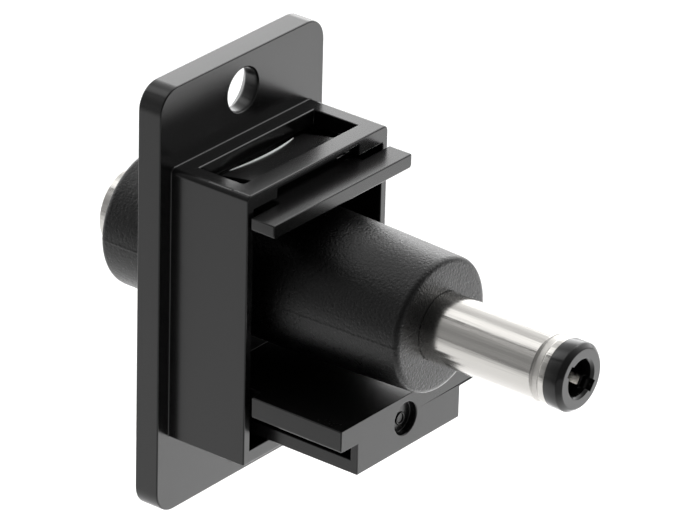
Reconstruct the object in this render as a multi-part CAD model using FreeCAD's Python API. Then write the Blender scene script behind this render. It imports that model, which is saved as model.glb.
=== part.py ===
import FreeCAD, Part
import os

from FreeCAD import Vector

# Panel-mount DC coupler: a frame with a rear shroud holds a snap-in carrier, and the
# carrier holds a round coupler with a DC socket in front and a DC plug behind.
# Millimetres. +Z is up, +Y points out of the rear, towards the plug.
# The origin is the middle of the flange's rear face, which seats on the panel.

# Flange
flange_width = 19.5
flange_thick = 2.2
flange_corner_r = 2.0
screw_spacing = 30.0
screw_margin = 3.0
screw_hole_d = 3.6
screw_sink_d = 5.4

# Shroud behind the flange
shroud_width = 16.9
shroud_height = 22.8
shroud_depth = 7.45
shroud_edge_r = 0.45
side_wall = 0.7
side_draft = 0.3
bottom_wall = 1.15
top_wall = 1.35
window_front = 1.45
window_rear = 5.7
window_width = 13.7
port_height = 16.8

# Notch in the rear of the bar behind the window, above the latch arm
notch_width = 9.8
notch_roof = 0.45
notch_depth = 0.95

# Carrier plate and collar
carrier_gap = 0.2
carrier_recess = 0.2
carrier_inset = 0.1
plate_thick = 1.6
plate_corner_r = 0.6
collar_depth = 5.2
collar_wall = 1.6

# Latch arm with its catch and its finger tab
arm_width = 10.0
arm_thick = 1.15
arm_drop = 0.3
arm_body_gap = 1.35
arm_flex_gap = 0.85
arm_root_r = 0.6
tab_gap = 0.25
tab_depth = 2.2
tab_corner_r = 0.3
catch_front_gap = 0.45
catch_play = 0.35
scoop_width = 7.7
scoop_depth = 0.55
catch_front_rise = 0.45
catch_rear_rise = 1.1

# Beam under the coupler, with its shoulders behind the shroud
beam_floor_gap = 0.5
beam_body_gap = 0.9
shoulder_gap = 0.6
beam_rear = 16.75
wing_thick = 1.95
wing_taper = 0.15
wing_edge_r = 0.25
foot_width = 12.6
foot_thick = 1.15
web_width = 4.0
end_wall = 0.7
gate_d = 2.7
gate_depth = 0.65
gate_side = 0.45
gate_rise = 0.3

# Coupler body
body_front = -9.4
body_rear = 19.5
body_front_r = 5.65
body_mid_r = 5.8
body_rear_r = 5.42
body_front_edge = 0.5
body_rear_edge = 0.45
groove_depth = 0.25
groove_gap = 0.1

# DC plug at the rear: sleeve, nose and inner contact
barrel_r = 2.75
barrel_wall = 0.45
barrel_length = 11.6
barrel_tail = 7.5
barrel_neck_depth = 0.2
barrel_collar_rise = 0.8
barrel_collar_thick = 1.0
ring_from_end = 0.55
ring_width = 0.7
ring_depth = 0.16
tip_length = 1.5
tip_edge = 0.35
tip_lip = 1.0
tip_bore_r = 1.43
tip_slot_gap = 0.07
tip_slot_angle = 38.0
tip_spigot = 7.0
contact_r = 1.8
contact_wall = 0.4
contact_tube = 11.5
contact_setback = 0.9
finger_thick = 0.35
finger_width = 0.76
finger_straight = 0.7
finger_throat = 2.0
finger_dip = 0.5
finger_flare = 0.25
bushing_length = 1.7

# DC socket at the front: sleeve, floor, centre pin and side spring
shell_r = 3.25
shell_wall = 0.4
shell_proud = 2.1
shell_collar_rise = 0.65
shell_collar_thick = 0.8
socket_depth = 9.6
floor_thick = 2.9
pin_r = 1.25
pin_tip_edge = 0.75
pin_setback = 0.8
shank_length = 6.9
spring_slot_width = 2.0
spring_slot_length = 6.4
spring_pocket_depth = 0.5
spring_thick = 0.2
spring_side_gap = 0.1
spring_end_gap = 0.3
spring_foot_gap = 0.3
spring_throat = 2.5
spring_dip = 0.45

# Conductors inside the body
tail_r = 1.0
tail_length = 3.4
wire_r = 0.6
cup_gap = 0.05
cup_depth = 1.5
solder_tab_r = 3.2
solder_tab_thick = 0.35
solder_tab_width = 2.0
solder_tab_length = 3.5
solder_tab_foot = 0.8
strip_width = 1.4
strip_thick = 0.5
strip_gap = 0.3

# How far a cut runs past what it cuts, and how closely an edge is picked by its place
overrun = 1.0
pick = 1e-6

# Flange and shroud, worked out
flange_height = screw_spacing + 2 * screw_margin
shroud_top = shroud_height / 2
ceiling = shroud_top - top_wall
floor_level = bottom_wall - shroud_height / 2
inner_rear_width = shroud_width - 2 * side_wall
inner_front_width = inner_rear_width - 2 * side_draft
port_bottom = ceiling - port_height

# Carrier and the coupler's axis, worked out
carrier_width = inner_front_width - 2 * carrier_gap
carrier_front = carrier_recess - flange_thick
rear_width = shroud_width - 2 * carrier_inset
plate_rear = carrier_front + plate_thick
collar_rear = carrier_front + collar_depth
arm_top = ceiling - arm_drop
arm_bottom = arm_top - arm_thick
axis_height = arm_bottom - arm_body_gap - body_mid_r
tab_front = shroud_depth + tab_gap
tab_rear = tab_front + tab_depth
catch_front = window_front + catch_front_gap
catch_rear = window_rear - catch_play
beam_front = carrier_gap
beam_top = axis_height - body_mid_r - beam_body_gap
beam_bottom = floor_level + beam_floor_gap
shoulder_front = shroud_depth + shoulder_gap
groove_r = body_front_r - groove_depth
bore_r = groove_r + groove_gap

# Plug, worked out
metal_end = body_rear + barrel_length
tip_end = metal_end + tip_length
barrel_back = body_rear - barrel_tail
barrel_inner_r = barrel_r - barrel_wall
barrel_neck_r = barrel_r - barrel_neck_depth
barrel_collar_r = barrel_r + barrel_collar_rise
slot_reach = contact_r + tip_slot_gap
slot_width = finger_width + 2 * tip_slot_gap
contact_back = barrel_back + bushing_length
contact_front = tip_end - contact_setback
tail_start = contact_back - tail_length

# Socket, worked out
shell_front = body_front - shell_proud
shell_inner_r = shell_r - shell_wall
shell_collar_r = shell_r + shell_collar_rise
socket_floor = shell_front + socket_depth
shell_back = socket_floor + floor_thick
slot_front = socket_floor - spring_slot_length
spring_pocket_r = shell_r + spring_pocket_depth
shank_end = socket_floor + shank_length
cup_r = wire_r + cup_gap


def box(x0, x1, y0, y1, z0, z1):
    """A block between two corners."""
    return Part.makeBox(x1 - x0, y1 - y0, z1 - z0, Vector(x0, y0, z0))


def wide_box(width, y0, y1, z0, z1):
    """A block that lies evenly about the middle plane."""
    return box(-width / 2, width / 2, y0, y1, z0, z1)


def flat_face(points):
    """A plane face from its corners."""
    return Part.Face(Part.makePolygon(points + points[:1]))


def across(profile, width):
    """A side profile of (y, z) corners, as wide as given, evenly about the middle plane."""
    points = [Vector(-width / 2, y, z) for y, z in profile]
    return flat_face(points).extrude(Vector(width, 0, 0))


def along(half_section, y0, y1):
    """A section given by the (x, z) corners of its +X half, mirrored, from one depth to another."""
    section = half_section + [(-x, z) for x, z in reversed(half_section)]
    points = [Vector(x, y0, z) for x, z in section]
    return flat_face(points).extrude(Vector(0, y1 - y0, 0))


def turned(profile):
    """A solid turned about the coupler's axis from (radius, y) corners."""
    points = [Vector(r, y, axis_height) for r, y in profile]
    return flat_face(points).revolve(Vector(0, 0, axis_height), Vector(0, 1, 0), 360)


def tube(outer_r, inner_r, y0, y1):
    """A round tube on the coupler's axis; an inner radius of 0 makes a rod."""
    return turned([(inner_r, y0), (outer_r, y0), (outer_r, y1), (inner_r, y1)])


def strip(profile, width, angle):
    """A flat piece from (radius, y) corners, standing out from the axis at an angle from +X."""
    points = [Vector(r, y, axis_height - width / 2) for r, y in profile]
    solid = flat_face(points).extrude(Vector(0, 0, width))
    solid.rotate(Vector(0, 0, axis_height), Vector(0, 1, 0), -angle)
    return solid


def flat_strip(outer_r, inner_r, y0, y1, width, angle):
    """A straight piece that lies along the axis between two radii."""
    return strip([(inner_r, y0), (outer_r, y0), (outer_r, y1), (inner_r, y1)], width, angle)


def bent_strip(outer_line, thick, width, angle):
    """A sheet strip whose outer side follows (radius, y) points."""
    inner_line = [(r - thick, y) for r, y in reversed(outer_line)]
    return strip(outer_line + inner_line, width, angle)


def edges_along(shape, test):
    """Straight edges that run front to rear and whose middle passes a test."""
    found = []
    for edge in shape.Edges:
        if edge.Curve.TypeId != "Part::GeomLine":
            continue
        run = edge.tangentAt(edge.FirstParameter)
        if abs(abs(run.y) - 1) < pick and test(edge.CenterOfMass):
            found.append(edge)
    return found


def make_flange():
    """Flange plate with rounded corners."""
    flange = wide_box(flange_width, -flange_thick, 0, -flange_height / 2, flange_height / 2)
    return flange.makeFillet(flange_corner_r, edges_along(flange, lambda middle: True))


def room_outline(width, y):
    """Upright outline of the room inside the shroud at one depth."""
    half = width / 2
    corners = [(-half, floor_level), (half, floor_level), (half, ceiling), (-half, ceiling)]
    points = [Vector(x, y, z) for x, z in corners]
    return Part.makePolygon(points + points[:1])


def make_screw_hole(height):
    """A through hole with a right-angled countersink in the flange's front."""
    hole_r = screw_hole_d / 2
    sink_r = screw_sink_d / 2
    start = Vector(0, -flange_thick - overrun, height)
    rearward = Vector(0, 1, 0)
    hole = Part.makeCylinder(hole_r, flange_thick + 2 * overrun, start, rearward)
    sink = Part.makeCone(sink_r + overrun, hole_r, sink_r + overrun - hole_r, start, rearward)
    return hole.fuse(sink)


def make_frame():
    """Flange and shroud, one moulding."""
    shroud = wide_box(shroud_width, -flange_thick / 2, shroud_depth, -shroud_top, shroud_top)
    shroud = shroud.makeFillet(shroud_edge_r, edges_along(shroud, lambda middle: middle.z > 0))
    frame = make_flange().fuse(shroud)

    # The room inside widens a little towards the rear, as its core draws out
    room = Part.makeLoft([room_outline(inner_front_width, 0),
                          room_outline(inner_rear_width, shroud_depth)], True, True)
    port = wide_box(inner_front_width, -flange_thick - overrun, overrun, port_bottom, ceiling)
    window = wide_box(window_width, window_front, window_rear, ceiling - overrun, shroud_top + overrun)
    frame = frame.cut([room, port, window])

    # Notch in the bar's rear face, which gives a fingertip room above the latch arm
    notch = wide_box(notch_width, shroud_depth - notch_depth, shroud_depth + overrun,
                     ceiling - overrun, shroud_top - notch_roof)
    frame = frame.cut(notch)

    for side in (-1, 1):
        frame = frame.cut(make_screw_hole(side * screw_spacing / 2))
    return frame.removeSplitter()


def make_latch():
    """Latch arm from the plate's top edge, with its catch and its finger tab."""
    middle = (arm_top + arm_bottom) / 2
    arm = wide_box(arm_width, plate_rear - plate_thick / 2, (tab_front + tab_rear) / 2, arm_bottom, arm_top)
    root_rear = plate_rear + arm_root_r
    root_low = arm_bottom - arm_root_r
    root = wide_box(arm_width, plate_rear, root_rear, root_low, arm_bottom)
    hollow = Part.makeCylinder(arm_root_r, arm_width, Vector(-arm_width / 2, root_rear, root_low),
                               Vector(1, 0, 0))

    tab = wide_box(rear_width, tab_front, tab_rear, arm_bottom, arm_top)
    tab = tab.makeFillet(tab_corner_r, edges_along(tab, lambda place: place.z < middle))

    # The catch rises to the rear, and the middle of its front is scooped to a round
    catch = across([(catch_front, middle), (catch_front, arm_top + catch_front_rise),
                    (catch_rear, arm_top + catch_rear_rise), (catch_rear, middle)], arm_width)
    half = scoop_width / 2
    scoop_r = (half * half + scoop_depth * scoop_depth) / (2 * scoop_depth)
    centre = Vector(0, catch_front + scoop_depth - scoop_r, arm_top)
    scoop = Part.makeCylinder(scoop_r, 2 * catch_rear_rise, centre, Vector(0, 0, 1))
    return arm.fuse([root.cut(hollow), tab, catch.cut(scoop)])


def beam_section(width):
    """Half of the beam's I section for one width of its wings, from the top down."""
    foot_top = beam_bottom + foot_thick
    return [(width / 2, beam_top), (width / 2, beam_top - wing_thick + wing_taper),
            (web_width / 2, beam_top - wing_thick), (web_width / 2, foot_top),
            (foot_width / 2, foot_top), (foot_width / 2, beam_bottom)]


def make_beam():
    """Beam of I section under the coupler; its wings stand behind the shroud's side walls."""
    inside = along(beam_section(carrier_width), beam_front, shoulder_front)
    behind = along(beam_section(rear_width), shoulder_front, beam_rear)
    behind = behind.makeFillet(wing_edge_r, edges_along(
        behind, lambda place: abs(place.x) > foot_width / 2 + pick and place.z < beam_top - pick))
    front_wall = wide_box(foot_width, beam_front, beam_front + end_wall, beam_bottom, beam_top)
    rear_wall = wide_box(foot_width, beam_rear - end_wall, beam_rear, beam_bottom, beam_top)
    beam = inside.fuse([behind, front_wall, rear_wall])

    # Round recess in the rear end, where the moulding was filled
    place = Vector(gate_side, beam_rear - gate_depth, (beam_top + beam_bottom) / 2 + gate_rise)
    recess = Part.makeCylinder(gate_d / 2, gate_depth + overrun, place, Vector(0, 1, 0))
    return beam.cut(recess)


def make_carrier():
    """Snap-in carrier: front plate, collar round the coupler, latch arm and beam, one moulding."""
    plate = wide_box(carrier_width, carrier_front, plate_rear, port_bottom + carrier_gap, arm_top)
    plate = plate.makeFillet(plate_corner_r, edges_along(plate, lambda middle: middle.z < 0))

    # The collar stands on the beam, keeps within the port and leaves room for the arm to bend
    collar_r = bore_r + collar_wall
    cradle = wide_box(2 * collar_r, beam_front, collar_rear, beam_top - wing_thick / 2, axis_height)
    within = wide_box(carrier_width, carrier_front, collar_rear, beam_bottom, arm_bottom - arm_flex_gap)
    collar = tube(collar_r, 0, carrier_front, collar_rear).fuse(cradle).common(within)

    bore = tube(bore_r, 0, carrier_front - overrun, collar_rear + overrun)
    return plate.fuse([collar, make_beam(), make_latch()]).cut(bore).removeSplitter()


def make_body(inner_pieces):
    """Round body moulded over the plug, the socket and their conductors."""
    body = turned([(0, body_front), (body_front_r - body_front_edge, body_front),
                   (body_front_r, body_front + body_front_edge), (body_front_r, carrier_front),
                   (groove_r, carrier_front), (groove_r, collar_rear), (body_mid_r, collar_rear),
                   (body_mid_r, shroud_depth), (body_rear_r, body_rear - body_rear_edge),
                   (body_rear_r - body_rear_edge, body_rear), (0, body_rear)])

    mouth = tube(shell_r, 0, body_front - overrun, shell_back)
    seat = tube(barrel_neck_r, 0, barrel_back, body_rear + overrun)
    pocket = flat_strip(spring_pocket_r, 0, slot_front, socket_floor, spring_slot_width, -90)
    pin_cup = tube(cup_r, 0, shank_end - cup_depth, shank_end)
    tail_cup = tube(cup_r, 0, tail_start, tail_start + cup_depth)
    return body.cut([mouth, seat, pocket, pin_cup, tail_cup] + inner_pieces).removeSplitter()


def make_barrel():
    """Outer sleeve of the plug: ring groove near its end, neck and collar inside the body."""
    ring_end = metal_end - ring_from_end
    ring_start = ring_end - ring_width
    ring_r = barrel_r - ring_depth
    collar_front = barrel_back + barrel_collar_thick
    return turned([(barrel_inner_r, barrel_back), (barrel_collar_r, barrel_back),
                   (barrel_collar_r, collar_front), (barrel_neck_r, collar_front),
                   (barrel_neck_r, body_rear), (barrel_r, body_rear), (barrel_r, ring_start),
                   (ring_r, ring_start), (ring_r, ring_end), (barrel_r, ring_end),
                   (barrel_r, metal_end), (barrel_inner_r, metal_end)])


def make_tip_insulator():
    """Black nose of the plug, with a slotted bore; its spigot fills the end of the sleeve."""
    spigot_back = metal_end - tip_spigot
    nose = turned([(tip_bore_r, tip_end - tip_lip), (contact_r, tip_end - tip_lip), (contact_r, spigot_back),
                   (barrel_inner_r, spigot_back), (barrel_inner_r, metal_end), (barrel_r, metal_end),
                   (barrel_r, tip_end - tip_edge), (barrel_r - tip_edge, tip_end), (tip_bore_r, tip_end)])
    slot = flat_strip(slot_reach, -slot_reach, spigot_back - overrun, tip_end + overrun, slot_width,
                      tip_slot_angle)
    return nose.cut(slot)


def make_tip_contact():
    """Inner contact of the plug: a tube with two sprung fingers and a solder tail."""
    bore = contact_r - contact_wall
    tube_front = contact_back + contact_tube
    bore_end = contact_back + contact_wall
    tail = turned([(cup_r, tail_start), (tail_r, tail_start), (tail_r, contact_back),
                   (contact_r, contact_back), (contact_r, tube_front), (bore, tube_front), (bore, bore_end),
                   (0, bore_end), (0, tail_start + cup_depth), (cup_r, tail_start + cup_depth)])
    line = [(contact_r, tube_front - contact_wall), (contact_r, tube_front + finger_straight),
            (contact_r - finger_dip, contact_front - finger_throat),
            (contact_r - finger_dip + finger_flare, contact_front)]
    fingers = [bent_strip(line, finger_thick, finger_width, tip_slot_angle + turn) for turn in (0, 180)]
    return tail.fuse(fingers).removeSplitter()


def make_bushing():
    """Insulating bush between the plug's tail and the rear of its sleeve, up to the inner contact."""
    return tube(barrel_inner_r, tail_r, barrel_back, contact_back)


def make_solder_tab(y, inward):
    """Bent tab whose foot is welded to a sleeve's collar, below the axis; inward is +1 or -1 along y."""
    outer = solder_tab_r + solder_tab_thick
    foot_y = y + inward * solder_tab_thick
    end = y + inward * solder_tab_length
    inner = solder_tab_r - solder_tab_foot
    return strip([(inner, y), (outer, y), (outer, end), (solder_tab_r, end), (solder_tab_r, foot_y),
                  (inner, foot_y)], solder_tab_width, -90)


def make_shell():
    """Metal sleeve of the socket, slotted for its side spring, with a collar inside the body."""
    collar_front = shell_back - shell_collar_thick
    shell = turned([(shell_inner_r, shell_front), (shell_r, shell_front), (shell_r, collar_front),
                    (shell_collar_r, collar_front), (shell_collar_r, shell_back),
                    (shell_inner_r, shell_back)])
    slot = flat_strip(spring_pocket_r, 0, slot_front, socket_floor, spring_slot_width, -90)
    return shell.cut(slot)


def make_socket_insulator():
    """Floor of the socket, which grips the centre pin's shank."""
    return tube(shell_inner_r, tail_r, socket_floor, shell_back)


def make_centre_pin():
    """Centre pin of the socket, with a chamfered tip and a solder cup in its shank."""
    pin_tip = shell_front + pin_setback
    return turned([(0, pin_tip), (pin_r - pin_tip_edge, pin_tip), (pin_r, pin_tip + pin_tip_edge),
                   (pin_r, socket_floor), (tail_r, socket_floor), (tail_r, shank_end), (cup_r, shank_end),
                   (cup_r, shank_end - cup_depth), (0, shank_end - cup_depth)])


def make_side_spring():
    """Leaf that presses on an inserted plug through the sleeve's slot; its foot lies on the sleeve."""
    foot_r = shell_r + spring_thick
    foot_end = shell_back - shell_collar_thick - spring_foot_gap
    line = [(foot_r, foot_end), (foot_r, socket_floor),
            (shell_inner_r - spring_dip, slot_front + spring_throat), (shell_r, slot_front + spring_end_gap)]
    return bent_strip(line, spring_thick, spring_slot_width - 2 * spring_side_gap, -90)


def make_centre_wire():
    """Straight wire that joins the centre pin's cup to the plug's tail."""
    return tube(wire_r, 0, shank_end - cup_depth, tail_start + cup_depth)


def make_sleeve_strip(y0, y1):
    """Flat strip that lies on both solder tabs and joins the two sleeves."""
    return flat_strip(solder_tab_r, solder_tab_r - strip_thick, y0, y1, strip_width, -90)


def build():
    """All pieces by node name."""
    strip_front = shell_back + solder_tab_thick + strip_gap
    strip_rear = barrel_back - solder_tab_thick - strip_gap
    parts = {
        "socket_shell": make_shell(),
        "socket_insulator": make_socket_insulator(),
        "socket_centre_pin": make_centre_pin(),
        "socket_side_spring": make_side_spring(),
        "socket_solder_tab": make_solder_tab(shell_back, 1),
        "plug_barrel": make_barrel(),
        "plug_tip_insulator": make_tip_insulator(),
        "plug_tip_contact": make_tip_contact(),
        "plug_rear_bushing": make_bushing(),
        "plug_solder_tab": make_solder_tab(barrel_back, -1),
        "centre_link_wire": make_centre_wire(),
        "sleeve_link_strip": make_sleeve_strip(strip_front, strip_rear),
    }
    parts["coupler_body"] = make_body(list(parts.values()))
    parts["latch_carrier"] = make_carrier()
    parts["mounting_frame"] = make_frame()
    return parts


def export(parts):
    """One STEP file for each piece."""
    os.makedirs("parts", exist_ok=True)
    for name, shape in parts.items():
        solid = shape.Solids[0]
        print(name, "solids", len(shape.Solids), "valid", solid.isValid(), "volume", round(solid.Volume, 2))
        solid.exportStep("parts/" + name + ".step")


export(build())
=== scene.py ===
# %% [markdown]
# The coupler and its frame of reference
#
# The part is a DC power coupler in a panel frame: a tall flange with a shroud behind it, a
# snap-in carrier with a latch arm, and a round coupler with a socket in front and a plug behind.
# Its solids come packed, in metres, with +Y out of the rear and +Z up. Everything below is built
# in that same frame, so no piece has to be fitted to another.

# %% Load the imported solids
import math

import bmesh
import bpy
import numpy as np
from mathutils import Matrix, Vector


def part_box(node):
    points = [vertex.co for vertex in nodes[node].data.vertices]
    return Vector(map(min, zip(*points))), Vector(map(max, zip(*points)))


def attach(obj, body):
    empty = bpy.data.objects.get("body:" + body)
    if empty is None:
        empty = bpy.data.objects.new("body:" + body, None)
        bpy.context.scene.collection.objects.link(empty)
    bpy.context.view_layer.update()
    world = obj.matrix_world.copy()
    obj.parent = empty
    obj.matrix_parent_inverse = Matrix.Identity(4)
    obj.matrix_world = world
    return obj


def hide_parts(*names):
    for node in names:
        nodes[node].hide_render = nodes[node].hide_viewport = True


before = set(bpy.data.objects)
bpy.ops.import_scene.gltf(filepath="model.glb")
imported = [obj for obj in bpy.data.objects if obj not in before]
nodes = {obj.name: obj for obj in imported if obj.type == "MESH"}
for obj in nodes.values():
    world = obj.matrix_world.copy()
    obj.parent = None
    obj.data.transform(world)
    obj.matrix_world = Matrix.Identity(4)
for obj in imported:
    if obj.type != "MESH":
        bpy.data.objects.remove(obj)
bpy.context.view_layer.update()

MM = 0.001

# %% [markdown]
# The camera
#
# The photograph is taken from behind, above and the +X side, with a long lens from half a metre
# away. A camera could be aimed by hand until the picture looks right, but edges of known size
# give it exactly: the flange's corners, the shroud and the plug fix the place, the turn and the
# lens together. The function's three rows are the camera's right, up and backward directions.

# %% Camera
AZIMUTH, ELEVATION, ROLL = np.radians([127.86024828, 26.54287095, 1.47029402])
CAMERA_PLACE = np.array([335.96547674, 271.83062361, 216.43019259]) * MM
LENS = 323.1337


def camera_axes(azimuth, elevation, roll):
    """Rows are the camera's right, up and back directions, turned about the view by the roll."""
    level = np.cos(elevation)
    back = np.array([np.sin(azimuth) * level, -np.cos(azimuth) * level, np.sin(elevation)])
    right = np.array([np.cos(azimuth), np.sin(azimuth), 0.0])
    up = np.cross(back, right)
    turned_right = np.cos(roll) * right + np.sin(roll) * up
    turned_up = np.cos(roll) * up - np.sin(roll) * right
    return np.array([turned_right, turned_up, back])


camera = bpy.data.objects.new("camera", bpy.data.cameras.new("camera"))
bpy.context.scene.collection.objects.link(camera)
placing = np.eye(4)
placing[:3, :3] = camera_axes(AZIMUTH, ELEVATION, ROLL).T
placing[:3, 3] = CAMERA_PLACE
camera.matrix_world = Matrix(placing.tolist())
camera.data.lens = LENS
camera.data.sensor_width = 36.0
camera.data.clip_start = 0.01
bpy.context.scene.camera = camera
print("camera distance in mm:", round(float(np.linalg.norm(CAMERA_PLACE)) / MM, 1))

# %% [markdown]
# A small language for shaders
#
# A finish is a tree of nodes. Wiring each one by hand is long and hides the idea, so one class
# wraps an output of a node and turns Python's plus, minus, times and divide into Math nodes.
# One more call makes every other node from its type, its settings and its sockets.


# %% Shader maths
class Signal:
    """One output of a node, which can be added, subtracted, multiplied or divided."""

    def __init__(self, tree, socket):
        self.tree = tree
        self.socket = socket

    def math(self, operation, first, second):
        """A Math node of the given operation on two signals or numbers."""
        return node(self.tree, "ShaderNodeMath", {"operation": operation}, {0: first, 1: second})

    def __add__(self, other):
        return self.math("ADD", self, other)

    def __sub__(self, other):
        return self.math("SUBTRACT", self, other)

    def __mul__(self, other):
        return self.math("MULTIPLY", self, other)

    def __truediv__(self, other):
        return self.math("DIVIDE", self, other)

    def __radd__(self, other):
        return self.math("ADD", other, self)

    def __rsub__(self, other):
        return self.math("SUBTRACT", other, self)

    def __rmul__(self, other):
        return self.math("MULTIPLY", other, self)

    def __rtruediv__(self, other):
        return self.math("DIVIDE", other, self)


def plug_in(tree, socket, value):
    """A socket takes a signal as a link and anything else as its fixed value."""
    if isinstance(value, Signal):
        tree.links.new(value.socket, socket)
    else:
        socket.default_value = value


def node(tree, kind, settings=None, sockets=None, output=0):
    """A node of one type: its settings come first, a ramp's stops among them, then its sockets."""
    made = tree.nodes.new(kind)
    for name, value in (settings or {}).items():
        if name == "stops":
            ramp = made.color_ramp.elements
            ramp.remove(ramp[1])
            for index, (position, shade) in enumerate(value):
                stop = ramp[0] if index == 0 else ramp.new(position)
                stop.position = position
                stop.color = (shade, shade, shade, 1.0)
        else:
            setattr(made, name, value)
    for name, value in (sockets or {}).items():
        plug_in(tree, made.inputs[name], value)
    return Signal(tree, made.outputs[output])


def new_finish(name, fixed):
    """A material with one Principled shader; what is the same all over is set on its sockets."""
    material = bpy.data.materials.new(name)
    material.use_nodes = True
    tree = material.node_tree
    shader = tree.nodes["Principled BSDF"]
    for socket, value in fixed.items():
        shader.inputs[socket].default_value = value
    return material, tree, shader


def object_place(tree):
    """Where a point lies on the part, in metres."""
    return node(tree, "ShaderNodeTexCoord", output=3)


def noise(tree, where, per_metre, detail, **more):
    """Cloudy noise between 0 and 1, with so many clouds to a metre."""
    sockets = {"Vector": where, "Scale": per_metre, "Detail": detail, **more}
    return node(tree, "ShaderNodeTexNoise", {}, sockets)


def raise_surface(tree, shader, height, strength, depth):
    """The shader's normal follows a height between 0 and 1, whose depth is in metres."""
    sockets = {"Height": height, "Strength": strength, "Distance": depth}
    plug_in(tree, shader.inputs["Normal"], node(tree, "ShaderNodeBump", {}, sockets))


# %% [markdown]
# Black plastics
#
# The frame and the carrier are smooth, dark mouldings. Almost all their light is the mirror
# image of the white room, so the colour is nearly black and the gloss does the work. A real
# moulding isn't quite even: slow waves in the surface bend its reflections a little, and dust
# and handling change the gloss in patches. The coupler's body comes from a spark-eroded mould,
# whose grain is a crust of small rounded pits, and its light is broad and speckled. Two pale
# finishes are painted highlights, on the catch's scooped edge and on the shroud's mould seam.

# %% Plastic finishes
PATCHES, WAVES, DUST = 180.0, 260.0, 5200.0
PATCH_GLOSS, DUST_GLOSS, DUST_HEIGHT = 0.06, 0.02, 0.02
PITS, GRAIN = 5000.0, 3600.0
PIT_HEIGHT, GRAIN_HEIGHT, GRAIN_GLOSS = 0.5, 1.1, 0.2


def gloss_plastic(name, shade, roughness, index=1.5):
    """Smooth moulding: slow waves in the surface and a slightly uneven gloss."""
    fixed = {"Base Color": (shade, shade, shade, 1.0), "IOR": index}
    material, tree, shader = new_finish(name, fixed)
    where = object_place(tree)
    patches = noise(tree, where, PATCHES, 3.0)
    dust = noise(tree, where, DUST, 2.0)
    uneven = roughness + PATCH_GLOSS * (patches - 0.5) + DUST_GLOSS * (dust - 0.5)
    plug_in(tree, shader.inputs["Roughness"], uneven)
    waves = noise(tree, where, WAVES, 1.0)
    raise_surface(tree, shader, waves + DUST_HEIGHT * dust, 0.35, 0.02 * MM)
    return material


def grain_plastic(name, shade, roughness, depth, index):
    """Spark-eroded moulding: a crust of rounded pits of two sizes."""
    fixed = {"Base Color": (shade, shade, shade, 1.0), "IOR": index}
    material, tree, shader = new_finish(name, fixed)
    where = object_place(tree)
    pits = node(tree, "ShaderNodeTexVoronoi", {}, {"Vector": where, "Scale": PITS, "Randomness": 1.0})
    grain = noise(tree, where, GRAIN, 5.0, Roughness=0.7)
    raise_surface(tree, shader, PIT_HEIGHT * pits + GRAIN_HEIGHT * grain, 1.0, depth)
    plug_in(tree, shader.inputs["Roughness"], roughness + GRAIN_GLOSS * (grain - 0.5))
    return material


frame_black = gloss_plastic("frame_black", 0.0040, 0.24)
carrier_black = gloss_plastic("carrier_black", 0.0045, 0.26, index=1.46)
body_black = grain_plastic("body_black", 0.002, 0.29, 0.04 * MM, index=1.44)
nose_black = gloss_plastic("nose_black", 0.005, 0.18)
# Painted highlight: a near-white finish for the catch's scooped edge.
painted_edge_highlight = gloss_plastic("painted_edge_highlight", 0.90, 0.30)
# Painted highlight: a pale grey finish for the shroud's mould seam.
painted_seam_highlight = gloss_plastic("painted_seam_highlight", 0.22, 0.30)
print("plastic finishes made")

# %% [markdown]
# Metals
#
# The plug's sleeve and the socket's sleeve are brass tube with a bright nickel plate. Plugging in
# and out polishes fine lines along them, which draw the room's reflections out lengthwise. The
# ring groove is rolled in and stays rougher than the rest. The spring contacts are brighter, and
# the hidden conductors are tinned copper.

# %% Metal finishes
STAINS = 350.0
STAIN_GLOSS, LINE_GLOSS, ROLLED_GLOSS = 0.10, 0.08, 0.34


def plated_metal(name, colour, roughness, stretch, fineness, depth, rolled=None):
    """Plated metal: fine lines, drawn out where the stretch is small, and slow stains in the plate.
    Between two depths along y, in metres, the metal can be rolled and rougher."""
    material, tree, shader = new_finish(name, {"Base Color": colour + (1.0,), "Metallic": 1.0})
    where = object_place(tree)
    drawn_out = node(tree, "ShaderNodeMapping", {}, {"Vector": where, "Scale": stretch})
    lines = noise(tree, drawn_out, fineness, 4.0)
    stains = noise(tree, where, STAINS, 4.0)
    uneven = roughness + STAIN_GLOSS * (stains - 0.5) + LINE_GLOSS * (lines - 0.5)
    if rolled:
        middle = (rolled[0] + rolled[1]) / 2
        half_width = (rolled[1] - rolled[0]) / 2
        depth_along = node(tree, "ShaderNodeSeparateXYZ", {}, {0: where}, output=1)
        compare = {0: depth_along, 1: middle, 2: half_width}
        uneven = uneven + ROLLED_GLOSS * node(tree, "ShaderNodeMath", {"operation": "COMPARE"}, compare)
    plug_in(tree, shader.inputs["Roughness"], uneven)
    raise_surface(tree, shader, lines, 0.5, depth)
    return material


ALONG_Y = (1.0, 0.03, 1.0)
ROUND_Y = (0.02, 1.0, 0.02)
RING_GROOVE = (29.88 * MM, 30.52 * MM)
sleeve_nickel = plated_metal("sleeve_nickel", (0.59, 0.575, 0.55), 0.15, ALONG_Y, 5200.0, 0.034 * MM,
                             rolled=RING_GROOVE)
contact_silver = plated_metal("contact_silver", (0.86, 0.85, 0.83), 0.14, ROUND_Y, 5000.0, 0.006 * MM)
tinned = plated_metal("tinned", (0.62, 0.61, 0.60), 0.35, ROUND_Y, 4000.0, 0.006 * MM)
print("metal finishes made")

# %% [markdown]
# Adding a piece
#
# Each new piece ends the same way: smooth shading, one finish, an object at the origin and the body
# that it rides on. A piece that stands for a imported solid says so, and that solid is then hidden.
# On a moulding the shading should bend only at the rounded edges, so weighted normals let each
# large flat face keep its own direction.


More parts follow.
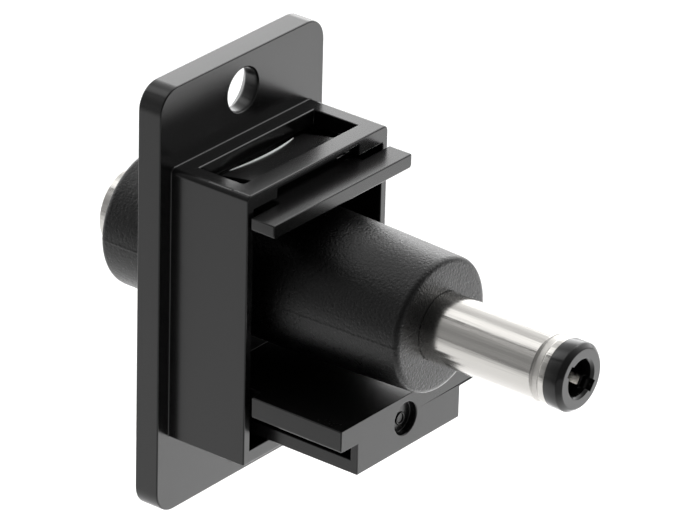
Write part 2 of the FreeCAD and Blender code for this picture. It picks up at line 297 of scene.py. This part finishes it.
def add_piece(name, mesh, material, node_name, stands_for_it=True):
    """A mesh becomes a piece of the part, with the given finish."""
    mesh.polygons.foreach_set("use_smooth", np.ones(len(mesh.polygons), bool))
    mesh.materials.clear()
    mesh.materials.append(material)
    piece = bpy.data.objects.new(name, mesh)
    bpy.context.scene.collection.objects.link(piece)
    if stands_for_it:
        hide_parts(node_name)
    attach(piece, "root")
    print(name, "faces:", len(mesh.polygons))
    return piece


def shade_evenly(piece):
    """Weighted normals, by the area of the faces."""
    even = piece.modifiers.new("even_shading", "WEIGHTED_NORMAL")
    even.mode = "FACE_AREA"
    even.weight = 100
    return even


# %% [markdown]
# Softened mouldings
#
# No moulding has a knife edge: the mould's own corners leave a radius of a tenth of a millimetre
# or so, and on a black glossy part that thin round edge is what catches the light. The packed
# mesh is loose triangles, so a copy is merged, its flat areas are joined again, and a Bevel
# modifier rounds the sharp edges by a weight: in full where the edge stands out, and less in a
# hollow corner, which a mould makes crisper. The plug's nose is turned, so the edges of its
# chamfer are rounded first, and the edge of its bore is broken. The copy then stands for the solid.

# %% Softened copies
AXIS_HEIGHT = (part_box("plug_barrel")[0].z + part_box("plug_barrel")[1].z) / 2
MERGED_WITHIN = 0.001 * MM
FLAT_WITHIN, SHARP_FROM = 0.6, 28
CHAMFER_BENDS = (35, 55)
HOLLOW_SHARE = 0.8


def round_chamfers(work, cut_back):
    """The two edges of a chamfer, which bend by about 45 degrees, are cut back and rounded."""
    low, high = CHAMFER_BENDS
    bent = [edge for edge in work.edges
            if edge.is_manifold and low < math.degrees(edge.calc_face_angle()) < high]
    bmesh.ops.bevel(work, geom=bent, offset=cut_back, segments=4, profile=0.5, affect="EDGES")


def break_bore(work, radius, break_size):
    """The rear edge of a bore round the part's axis is broken by a small chamfer."""
    rear = max(point.co.y for point in work.verts)

    def on_rim(point):
        off_axis = math.hypot(point.co.x, point.co.z - AXIS_HEIGHT)
        return point.co.y > rear - 0.01 * MM and abs(off_axis - radius) < 0.02 * MM

    rim = [edge for edge in work.edges if on_rim(edge.verts[0]) and on_rim(edge.verts[1])]
    bmesh.ops.bevel(work, geom=rim, offset=break_size, segments=1, profile=0.5, affect="EDGES")
    print("bore edges broken:", len(rim))


def softened(node_name, piece_name, material, width, cut_back=0.0, bore=0.0, bore_break=0.0):
    """A copy of a solid whose sharp edges are rounded to a width, in metres. Where they are given,
    its chamfers are cut back first, and the edge of its bore is broken."""
    mesh = nodes[node_name].data.copy()
    mesh.name = piece_name
    work = bmesh.new()
    work.from_mesh(mesh)
    bmesh.ops.remove_doubles(work, verts=work.verts, dist=MERGED_WITHIN)
    bmesh.ops.dissolve_limit(work, angle_limit=math.radians(FLAT_WITHIN), verts=work.verts,
                             edges=work.edges)
    bmesh.ops.recalc_face_normals(work, faces=work.faces)
    if cut_back:
        round_chamfers(work, cut_back)
    if bore:
        break_bore(work, bore, bore_break)
    weight = work.edges.layers.float.new("bevel_weight_edge")
    for edge in work.edges:
        bend = math.degrees(edge.calc_face_angle_signed(0.0))
        if abs(bend) > SHARP_FROM:
            edge[weight] = 1.0 if bend > 0 else HOLLOW_SHARE
    work.to_mesh(mesh)
    work.free()
    piece = add_piece(piece_name, mesh, material, node_name)
    round_over = piece.modifiers.new("round_over", "BEVEL")
    round_over.width = width
    round_over.segments = 3
    round_over.limit_method = "WEIGHT"
    round_over.use_clamp_overlap = False
    shade_evenly(piece)


softened("mounting_frame", "frame_moulding", frame_black, 0.12 * MM)
softened("latch_carrier", "carrier_moulding", carrier_black, 0.10 * MM)
softened("plug_tip_insulator", "nose_moulding", nose_black, 0.04 * MM, cut_back=0.08 * MM,
         bore=1.43 * MM, bore_break=0.20 * MM)
softened("socket_shell", "socket_sleeve", sleeve_nickel, 0.06 * MM)

# %% [markdown]
# Rings of points
#
# The other new pieces are all rings of points, one after another: small rings along a line make a
# bead, and large rings round the axis make a turned piece. Both join each ring to the next with
# four-sided faces, so that step is written once, for whole arrays of point numbers.

# %% Rings of points
def ring_faces(rings, around, closed):
    """Faces between each ring and the next, where point a of ring r has the number
    r times around, plus a. In a closed row the last ring meets the first."""
    bands = rings if closed else rings - 1
    ring, point = np.meshgrid(np.arange(bands), np.arange(around), indexing="ij")
    next_ring = (ring + 1) % rings
    next_point = (point + 1) % around
    faces = np.stack([ring * around + point, ring * around + next_point,
                      next_ring * around + next_point, next_ring * around + point], axis=-1)
    return faces.reshape(-1, 4).tolist()


def mesh_in_mm(name, points, faces):
    """A mesh whose points are given in mm."""
    mesh = bpy.data.meshes.new(name)
    mesh.from_pydata((points.reshape(-1, 3) * MM).tolist(), [], faces)
    return mesh


# %% [markdown]
# Beads
#
# Some marks are too fine for the construction. The scooped front edge of the catch carries a
# painted highlight, the floor of the round recess shows a ring where the gate broke off, and the
# mould's seam is a thin line along the shroud's top edge, painted pale as a highlight. Each is a
# bead: a circle carried along a line, with a radius that may thin out.

# %% Beads
BEAD_SIDES = 16
# No bead's line runs this way, so a cross product with it never vanishes.
OFF_EVERY_LINE = [0.0, 0.6, 0.8]


def unit(vectors):
    """Each row divided by its own length."""
    return vectors / np.linalg.norm(vectors, axis=1)[:, None]


def bead(name, line, radius, material, node_name, closed=False):
    """A round bead along a line, in mm. At each point p with direction t, its circle is
    p + r (cos a u + sin a v), where u and v are square to t and to each other."""
    if closed:
        ahead = unit(np.roll(line, -1, axis=0) - np.roll(line, 1, axis=0))
    else:
        ahead = unit(np.gradient(line, axis=0))
    u = unit(np.cross(ahead, OFF_EVERY_LINE))
    v = np.cross(u, ahead)
    a = np.linspace(0, 2 * np.pi, BEAD_SIDES, endpoint=False)[None, :, None]
    r = np.broadcast_to(radius, len(line))[:, None, None]
    points = line[:, None, :] + r * (np.cos(a) * u[:, None, :] + np.sin(a) * v[:, None, :])
    faces = ring_faces(len(line), BEAD_SIDES, closed)
    if not closed:
        last = (len(line) - 1) * BEAD_SIDES
        faces += [list(range(BEAD_SIDES))[::-1], list(range(last, last + BEAD_SIDES))]
    add_piece(name, mesh_in_mm(name, points, faces), material, node_name, stands_for_it=False)


# %% [markdown]
# The catch's painted highlight
#
# The catch's front edge is scooped out in a shallow arc of a circle, and its top slopes down to
# that edge. The bead follows the arc on the sloping top and thins out to a point at both ends; its
# near-white colour is a painted highlight.

# %% Catch edge
SCOOP_WIDTH, SCOOP_DEPTH = 7.7, 0.55
CATCH_FRONT, CATCH_FRONT_TOP, CATCH_SLOPE = 1.90, 10.20, 0.65 / 3.45
CATCH_EDGE_RADIUS = 0.115
half_scoop = SCOOP_WIDTH / 2
scoop_radius = (half_scoop ** 2 + SCOOP_DEPTH ** 2) / (2 * SCOOP_DEPTH)
across = np.linspace(-half_scoop, half_scoop, 61)
scooped = SCOOP_DEPTH - scoop_radius + np.sqrt(scoop_radius ** 2 - across ** 2)
catch_line = np.stack([across, CATCH_FRONT + scooped, CATCH_FRONT_TOP + CATCH_SLOPE * scooped], axis=1)
thinning = np.sqrt(np.clip(1 - (across / half_scoop) ** 2, 0.01, 1))
# The bead's near-white finish is a painted highlight along the catch's edge.
bead("catch_edge", catch_line, CATCH_EDGE_RADIUS * thinning, painted_edge_highlight, "latch_carrier")

# %% [markdown]
# The gate's ring and the mould's seam
#
# Plastic enters a mould through a gate, which is broken off and leaves a ring, here on the floor
# of a small recess. The seam of the frame's mould runs along the shroud's top edge on the +X side,
# in two stretches with a step between them; its pale grey colour is a painted highlight.

# %% Gate ring and seam
GATE_X, GATE_FLOOR, GATE_Z, GATE_RADIUS = 0.36, 16.12, -7.43, 0.45
turn = np.linspace(0, 2 * np.pi, 48, endpoint=False)
ring_line = np.stack([GATE_X + GATE_RADIUS * np.cos(turn), np.full(48, GATE_FLOOR),
                      GATE_Z + GATE_RADIUS * np.sin(turn)], axis=1)
bead("gate_ring", ring_line, 0.09, carrier_black, "latch_carrier", closed=True)

# The seam beads' pale grey finish is a painted highlight along the ridge of the seam.
SEAM_RADIUS = 0.045
SEAMS = {"seam_front": (8.20, 11.34, 3.45, 5.65), "seam_rear": (8.13, 11.37, 5.85, 7.33)}
for seam_name, (seam_x, seam_z, seam_start, seam_end) in SEAMS.items():
    seam_depths = np.linspace(seam_start, seam_end, 24)
    seam_line = np.stack([np.full(24, seam_x), seam_depths, np.full(24, seam_z)], axis=1)
    bead(seam_name, seam_line, SEAM_RADIUS, painted_seam_highlight, "mounting_frame")

# %% [markdown]
# Turned pieces
#
# The body and the plug's sleeve are round, so each is a profile of radius against depth, carried
# round the axis. The profile's corners are rounded first with short arcs, and the grid of points is
# then one array: every profile point times every angle.

# %% Turning
ARC_STEPS = 6
CREASED_FROM = 35


def rounded_profile(corners):
    """Corners are (radius, depth, rounding) in mm; each is cut back by its rounding and bridged by
    an arc, drawn as a curve that leaves along one side and arrives along the next."""
    points = []
    for index, (radius, depth, size) in enumerate(corners):
        here = np.array([radius, depth])
        if size == 0:
            points.append(here)
            continue
        before = np.array(corners[index - 1][:2]) - here
        after = np.array(corners[(index + 1) % len(corners)][:2]) - here
        start = here + size * before / np.linalg.norm(before)
        end = here + size * after / np.linalg.norm(after)
        t = np.linspace(0, 1, ARC_STEPS + 1)[:, None]
        points.extend((1 - t) ** 2 * start + 2 * t * (1 - t) * here + t ** 2 * end)
    return np.array(points)


def turned_piece(name, corners, material, node_name, around, relief=None):
    """A closed profile carried round the axis: x = r sin a, z = r cos a + axis height, y = depth.
    The relief adds a little to the radius as a function of the radius and the angle."""
    profile = rounded_profile(corners)
    angle = np.linspace(0, 2 * np.pi, around, endpoint=False)
    radius = np.repeat(profile[:, :1], around, axis=1)
    depth = np.repeat(profile[:, 1:], around, axis=1)
    if relief is not None:
        radius = radius + relief(radius, angle[None, :])
    height = radius * np.cos(angle) + AXIS_HEIGHT / MM
    points = np.stack([radius * np.sin(angle), depth, height], axis=-1)
    mesh = mesh_in_mm(name, points, ring_faces(len(profile), around, closed=True))
    work = bmesh.new()
    work.from_mesh(mesh)
    bmesh.ops.recalc_face_normals(work, faces=work.faces)
    work.to_mesh(mesh)
    work.free()
    piece = add_piece(name, mesh, material, node_name)
    mesh.set_sharp_from_angle(angle=math.radians(CREASED_FROM))
    shade_evenly(piece).keep_sharp = True


# %% [markdown]
# The coupler's body
#
# The body is moulded over the plug, the socket and their wires. It is a little fatter in the
# middle, tapers to the rear as it draws from its mould, and has soft rims. Where the two halves
# of its mould meet, at the height of the axis, a fine raised line runs along both sides.

# %% Coupler body
RIDGE_HEIGHT, RIDGE_SPREAD = 0.03, 0.08
OUTSIDE_FROM = 5.0


def parting_line(radius, angle):
    """A ridge on the outside, where the sine of the angle is near 1 or -1. It falls off with the
    distance d from that line as exp of minus (d over the spread) squared."""
    off_line = radius * np.abs(np.cos(angle))
    ridge = RIDGE_HEIGHT * np.exp(-(off_line / RIDGE_SPREAD) ** 2)
    return np.where(radius > OUTSIDE_FROM, ridge, 0.0)


# The first six corners are the socket's end and the neck inside the carrier, the next three the
# plug's end up to the hole for the sleeve, and the last five that hole and the hollow inside.
body_corners = [
    (3.25, -9.40, 0), (5.65, -9.40, 0.55), (5.65, -2.00, 0),
    (5.40, -2.00, 0), (5.40, 3.20, 0), (5.80, 3.20, 0),
    (5.80, 7.45, 0.8), (5.42, 19.50, 0.50), (2.78, 19.50, 0.12),
    (2.55, 19.35, 0), (2.55, 13.00, 0), (3.90, 13.00, 0), (3.90, 0.20, 0), (3.25, 0.20, 0),
]
turned_piece("coupler_overmould", body_corners, body_black, "coupler_body", around=480,
             relief=parting_line)

# %% [markdown]
# The plug's sleeve
#
# A tube of 5.5 mm with a shallow ring groove near its end. A turned edge is broken by a tenth of
# a millimetre, which the arcs at the corners give.

# %% Plug sleeve
# The first five corners are the tube's hidden flange and tail, the next six the outside with the
# ring groove in it, and the last one its bore.
barrel_corners = [
    (2.30, 12.00, 0), (3.55, 12.00, 0), (3.55, 13.00, 0), (2.55, 13.00, 0), (2.55, 19.50, 0),
    (2.75, 19.50, 0), (2.75, 29.85, 0.10), (2.59, 29.97, 0.06),
    (2.59, 30.43, 0.06), (2.75, 30.55, 0.10), (2.75, 31.10, 0.05),
    (2.30, 31.10, 0),
]
turned_piece("plug_sleeve", barrel_corners, sleeve_nickel, "plug_barrel", around=192)

# %% [markdown]
# Pieces that keep their solids
#
# The contacts, the pin, the bush and the conductors are already the right shape, so their solids
# stay, and only take a finish.

# %% Finishes for the kept solids
kept = {
    "plug_tip_contact": contact_silver,
    "plug_rear_bushing": nose_black,
    "plug_solder_tab": tinned,
    "socket_insulator": nose_black,
    "socket_centre_pin": sleeve_nickel,
    "socket_side_spring": contact_silver,
    "socket_solder_tab": tinned,
    "centre_link_wire": tinned,
    "sleeve_link_strip": tinned,
}
for node_name, material in kept.items():
    nodes[node_name].data.materials.clear()
    nodes[node_name].data.materials.append(material)
print("kept solids:", len(kept))

# %% [markdown]
# The room
#
# The photograph was taken in a white room that is lit far past white, so neither the floor nor a
# shadow shows, and the black plastic only shows by what it mirrors. The room is a smooth change
# from one direction to another. A long light hangs overhead, with a dark gap along it, which gives
# the sleeve its bands, and a small softbox behind lights the edges as thin lines.

# %% Room
BRIGHT_SIDE, SIDE_SHARPNESS = (-0.79, -0.61, 0.0), 3.0
ROOM_BASE, ROOM_LIFT = 0.16, 3.6
SOFTBOX_SIDE, SOFTBOX_SHARPNESS, SOFTBOX_STRENGTH = (-0.71, 0.11, 0.70), 70.0, 3.0
# What hangs overhead is a row of degrees from straight up towards +X, each with its share of the
# room's light. A ramp holds shades from 0 to 1, so the shares go in halved and come out doubled.
OVERHEAD_FROM, OVERHEAD_SPAN, BRIGHTEST = -60, 180, 2
OVERHEAD = [(-55, 1.0), (-48, 0.52), (-14, 0.50), (-6, 0.95), (2, 1.5), (18, 1.85), (22, 1.7),
            (25, 0.3), (30, 0.3), (33, 1.45), (42, 1.1), (50, 1.05), (68, 1.0), (78, 1.4)]
FRONT_STARTS, FRONT_FULL = -0.15, -0.40


def reach(tree, vector, aim):
    """How far a vector reaches along an aim: the sum of the products of their parts."""
    settings = {"operation": "DOT_PRODUCT"}
    return node(tree, "ShaderNodeVectorMath", settings, {0: vector, 1: aim}, output=1)


def glow(tree, direction, aim, sharpness):
    """A soft spot in the sky round an aim: half of one plus the cosine, to the given power."""
    part_way = reach(tree, direction, Vector(aim).normalized()) * 0.5 + 0.5
    return node(tree, "ShaderNodeMath", {"operation": "POWER"}, {0: part_way, 1: sharpness})


def overhead_share(tree, direction):
    """What hangs overhead, by the degrees from straight up towards +X, and only on the front side."""
    sideways, lengthwise, upward = (node(tree, "ShaderNodeSeparateXYZ", {}, {0: direction}, output=part)
                                    for part in range(3))
    tilt = node(tree, "ShaderNodeMath", {"operation": "ARCTAN2"}, {0: sideways, 1: upward})
    stops = [((degrees - OVERHEAD_FROM) / OVERHEAD_SPAN, share / BRIGHTEST) for degrees, share in OVERHEAD]
    part_way = tilt / math.radians(OVERHEAD_SPAN) - OVERHEAD_FROM / OVERHEAD_SPAN
    share = BRIGHTEST * node(tree, "ShaderNodeValToRGB", {"stops": stops}, {0: part_way})
    front = {0: lengthwise, 1: FRONT_STARTS, 2: FRONT_FULL, 3: 0.0, 4: 1.0}
    in_front = node(tree, "ShaderNodeMapRange", {}, front)
    return 1.0 + in_front * (share - 1.0)


world = bpy.data.worlds.new("white_room")
bpy.context.scene.world = world
world.use_nodes = True
sky = world.node_tree
direction = node(sky, "ShaderNodeTexCoord", output=0)
room = ROOM_BASE + ROOM_LIFT * glow(sky, direction, BRIGHT_SIDE, SIDE_SHARPNESS)
softbox = SOFTBOX_STRENGTH * glow(sky, direction, SOFTBOX_SIDE, SOFTBOX_SHARPNESS)
background = sky.nodes["Background"]
background.inputs["Color"].default_value = (1.0, 1.0, 1.0, 1.0)
plug_in(sky, background.inputs["Strength"], room * overhead_share(sky, direction) + softbox)
print("room built")

# %% [markdown]
# The floor and its lamps
#
# The floor is pale and has a faint painted glow. Its glow and colour fade away from the part on two
# sides, painted shade which keeps the plastic's sides dark, and two lamps with soft edges light it
# on the side that the flat rear faces and the lower edges mirror. The lamps' cones miss the part itself.

# %% Floor and lamps
FLOOR_HEIGHT, FLOOR_HALF = -70 * MM, 3.0
FLOOR_SHADE = 0.86
FAR_SIDE, FAR_FADING = (0.83, -0.55, 0.0), [(0.12, 1.0), (0.26, 0.72), (0.42, 0.5), (0.72, 0.38)]
NEAR_SIDE, NEAR_FADING = (0.61, 0.79, 0.0), [(0.05, 1.0), (0.13, 0.4)]


def floor_lamp(name, place, target, cone, power):
    """A lamp with a soft-edged cone, in mm and degrees, that lights a patch of the floor."""
    light = bpy.data.lights.new(name, "SPOT")
    light.spot_size = math.radians(cone)
    light.spot_blend = 1.0
    light.shadow_soft_size = 20 * MM
    light.energy = power
    holder = bpy.data.objects.new(name, light)
    bpy.context.scene.collection.objects.link(holder)
    holder.location = Vector(place) * MM
    aim = Vector(target) * MM - holder.location
    holder.rotation_euler = aim.to_track_quat("-Z", "Y").to_euler()


def faded(tree, side, fading):
    """A ramp of shades over the distance along one side, in metres."""
    distance = reach(tree, object_place(tree), side)
    return node(tree, "ShaderNodeValToRGB", {"stops": fading}, {0: distance})


floor_lamp("plug_side_lamp", (-300, 230, 300), (-115, 88, -70), 36, 14.0)
floor_lamp("edge_lamp", (-160, 20, 250), (-80, 4, -70), 20, 9.0)

floor_mesh = bpy.data.meshes.new("floor")
floor_corners = ((-1, -1), (1, -1), (1, 1), (-1, 1))
floor_points = [(x * FLOOR_HALF, y * FLOOR_HALF, FLOOR_HEIGHT) for x, y in floor_corners]
floor_mesh.from_pydata(floor_points, [], [(0, 1, 2, 3)])
floor = bpy.data.objects.new("floor", floor_mesh)
bpy.context.scene.collection.objects.link(floor)
floor_fixed = {"Roughness": 0.9, "Emission Strength": 0.3}
floor_white, floor_tree, floor_shader = new_finish("floor_white", floor_fixed)
# Painted light on the floor: its glow and colour are brightest near the part, with painted shade further
# off.
painted_floor_light = faded(floor_tree, FAR_SIDE, FAR_FADING) * faded(floor_tree, NEAR_SIDE, NEAR_FADING)
plug_in(floor_tree, floor_shader.inputs["Emission Color"], painted_floor_light)
plug_in(floor_tree, floor_shader.inputs["Base Color"], FLOOR_SHADE * painted_floor_light)
floor_mesh.materials.append(floor_white)
bpy.context.scene.view_settings.view_transform = "Standard"
print("floor and lamps:", len(bpy.data.lights), "lamps")
